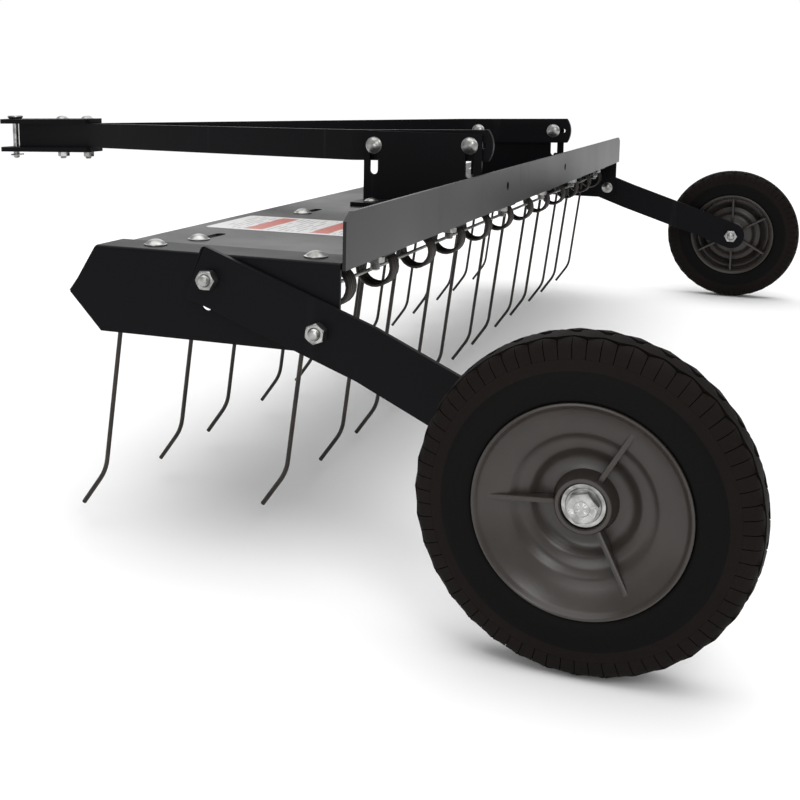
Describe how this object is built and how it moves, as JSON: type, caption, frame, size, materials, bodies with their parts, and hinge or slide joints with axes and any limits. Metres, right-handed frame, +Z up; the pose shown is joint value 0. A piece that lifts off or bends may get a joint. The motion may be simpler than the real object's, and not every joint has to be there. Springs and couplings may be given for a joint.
{
  "type": "lawn dethatcher",
  "caption": "Tow-behind lawn dethatcher: flanged deck over two staggered rows of sprung wire tines, height-set wheels on side arms and a V drawbar with hitch pin.",
  "frame": {"origin": "centre of the overall box on the ground plane under the tyres", "axes": "+X to the machine's left along the working width, +Y rearwards from the hitch to the wheels, +Z up"},
  "size_m": [1.3936, 1.0049, 0.2943],
  "materials": {
    "black_steel": "satin black powder coat",
    "spring_steel": "oil-tempered dark brown-black wire",
    "zinc_steel": "bright zinc plate",
    "tyre": "black rubber",
    "rim": "dark warm-grey moulded plastic",
    "label": "printed film without lettering"
  },
  "bodies": {
    "root": {"deck_tray": "black_steel", "left_end_plate": "black_steel", "right_end_plate": "black_steel", "left_tow_bracket": "black_steel", "right_tow_bracket": "black_steel", "end_plate_bolts": "zinc_steel", "end_plate_nuts": "zinc_steel", "bracket_bolts": "zinc_steel", "bracket_nuts": "zinc_steel", "tine_bolts": "zinc_steel", "tine_nuts": "zinc_steel", "tine_clamps": "black_steel", "front_spring_cross_bars": "spring_steel", "rear_spring_cross_bars": "spring_steel", "rear_tine_rod": "zinc_steel", "deck_label": "label"},
    "drawbar": {"left_draft_bar": "black_steel", "right_draft_bar": "black_steel", "hitch_plate_top": "black_steel", "hitch_plate_bottom": "black_steel", "hitch_bolts": "zinc_steel", "hitch_nuts": "zinc_steel", "draft_bar_bolts": "zinc_steel", "draft_bar_nuts": "zinc_steel"},
    "hitch_pin": {"hitch_pin": "zinc_steel"},
    "pin_clip": {"hitch_pin_clip": "zinc_steel"},
    "left_arm": {"left_wheel_arm": "black_steel", "left_arm_bolts": "zinc_steel", "left_arm_nuts": "zinc_steel", "left_axle_bolt": "zinc_steel", "left_axle_nut": "zinc_steel", "left_axle_spacer": "zinc_steel", "left_axle_washers": "zinc_steel"},
    "left_wheel": {"left_tyre": "tyre", "left_wheel_rim": "rim", "left_wheel_bush": "zinc_steel"},
    "right_arm": {"right_wheel_arm": "black_steel", "right_arm_bolts": "zinc_steel", "right_arm_nuts": "zinc_steel", "right_axle_bolt": "zinc_steel", "right_axle_nut": "zinc_steel", "right_axle_spacer": "zinc_steel", "right_axle_washers": "zinc_steel"},
    "right_wheel": {"right_tyre": "tyre", "right_wheel_rim": "rim", "right_wheel_bush": "zinc_steel"},
    "tine_01": {"tine_spring_01": "spring_steel"},
    "tine_02": {"tine_spring_02": "spring_steel"},
    "tine_03": {"tine_spring_03": "spring_steel"},
    "tine_04": {"tine_spring_04": "spring_steel"},
    "tine_05": {"tine_spring_05": "spring_steel"},
    "tine_06": {"tine_spring_06": "spring_steel"},
    "tine_07": {"tine_spring_07": "spring_steel"},
    "tine_08": {"tine_spring_08": "spring_steel"},
    "tine_09": {"tine_spring_09": "spring_steel"},
    "tine_10": {"tine_spring_10": "spring_steel"},
    "tine_11": {"tine_spring_11": "spring_steel"},
    "tine_12": {"tine_spring_12": "spring_steel"}
  },
  "joints": [
    {"name": "drawbar_height", "type": "slide", "parent": "root", "child": "drawbar", "axis": [0, 0, 1], "range_m": [-0.025, 0]},
    {"name": "hitch_pin_turn", "type": "hinge", "parent": "drawbar", "child": "hitch_pin", "pos_m": [0, -0.48883, 0.2579], "axis": [0, -0.0297, 0.9996], "continuous": true},
    {"name": "pin_clip_pull", "type": "slide", "parent": "hitch_pin", "child": "pin_clip", "axis": [1, 0, 0], "range_m": [0, 0.04]},
    {"name": "left_wheel_height", "type": "hinge", "parent": "root", "child": "left_arm", "pos_m": [0.6096, 0.20729, 0.17206], "axis": [1, 0, 0], "range_deg": [0, 13]},
    {"name": "left_wheel_spin", "type": "hinge", "parent": "left_arm", "child": "left_wheel", "pos_m": [0.6746, 0.40087, 0.1016], "axis": [1, 0, 0], "continuous": true},
    {"name": "right_wheel_height", "type": "hinge", "parent": "root", "child": "right_arm", "pos_m": [-0.6096, 0.20729, 0.17206], "axis": [1, 0, 0], "range_deg": [0, 13]},
    {"name": "right_wheel_spin", "type": "hinge", "parent": "right_arm", "child": "right_wheel", "pos_m": [-0.6746, 0.40087, 0.1016], "axis": [1, 0, 0], "continuous": true},
    {"name": "tine_flex_01", "type": "hinge", "parent": "root", "child": "tine_01", "pos_m": [0, 0.05767, 0.1898], "axis": [1, 0, 0], "range_deg": [0, 35], "stiffness_Nm_per_rad": 8},
    {"name": "tine_flex_02", "type": "hinge", "parent": "root", "child": "tine_02", "pos_m": [0, 0.05767, 0.1898], "axis": [1, 0, 0], "range_deg": [0, 35], "stiffness_Nm_per_rad": 8},
    {"name": "tine_flex_03", "type": "hinge", "parent": "root", "child": "tine_03", "pos_m": [0, 0.05767, 0.1898], "axis": [1, 0, 0], "range_deg": [0, 35], "stiffness_Nm_per_rad": 8},
    {"name": "tine_flex_04", "type": "hinge", "parent": "root", "child": "tine_04", "pos_m": [0, 0.05767, 0.1898], "axis": [1, 0, 0], "range_deg": [0, 35], "stiffness_Nm_per_rad": 8},
    {"name": "tine_flex_05", "type": "hinge", "parent": "root", "child": "tine_05", "pos_m": [0, 0.05767, 0.1898], "axis": [1, 0, 0], "range_deg": [0, 35], "stiffness_Nm_per_rad": 8},
    {"name": "tine_flex_06", "type": "hinge", "parent": "root", "child": "tine_06", "pos_m": [0, 0.05767, 0.1898], "axis": [1, 0, 0], "range_deg": [0, 35], "stiffness_Nm_per_rad": 8},
    {"name": "tine_flex_07", "type": "hinge", "parent": "root", "child": "tine_07", "pos_m": [0, 0.18466, 0.1898], "axis": [1, 0, 0], "range_deg": [0, 35], "stiffness_Nm_per_rad": 8},
    {"name": "tine_flex_08", "type": "hinge", "parent": "root", "child": "tine_08", "pos_m": [0, 0.18466, 0.1898], "axis": [1, 0, 0], "range_deg": [0, 35], "stiffness_Nm_per_rad": 8},
    {"name": "tine_flex_09", "type": "hinge", "parent": "root", "child": "tine_09", "pos_m": [0, 0.18466, 0.1898], "axis": [1, 0, 0], "range_deg": [0, 35], "stiffness_Nm_per_rad": 8},
    {"name": "tine_flex_10", "type": "hinge", "parent": "root", "child": "tine_10", "pos_m": [0, 0.18466, 0.1898], "axis": [1, 0, 0], "range_deg": [0, 35], "stiffness_Nm_per_rad": 8},
    {"name": "tine_flex_11", "type": "hinge", "parent": "root", "child": "tine_11", "pos_m": [0, 0.18466, 0.1898], "axis": [1, 0, 0], "range_deg": [0, 35], "stiffness_Nm_per_rad": 8},
    {"name": "tine_flex_12", "type": "hinge", "parent": "root", "child": "tine_12", "pos_m": [0, 0.18466, 0.1898], "axis": [1, 0, 0], "range_deg": [0, 35], "stiffness_Nm_per_rad": 8}
  ]
}
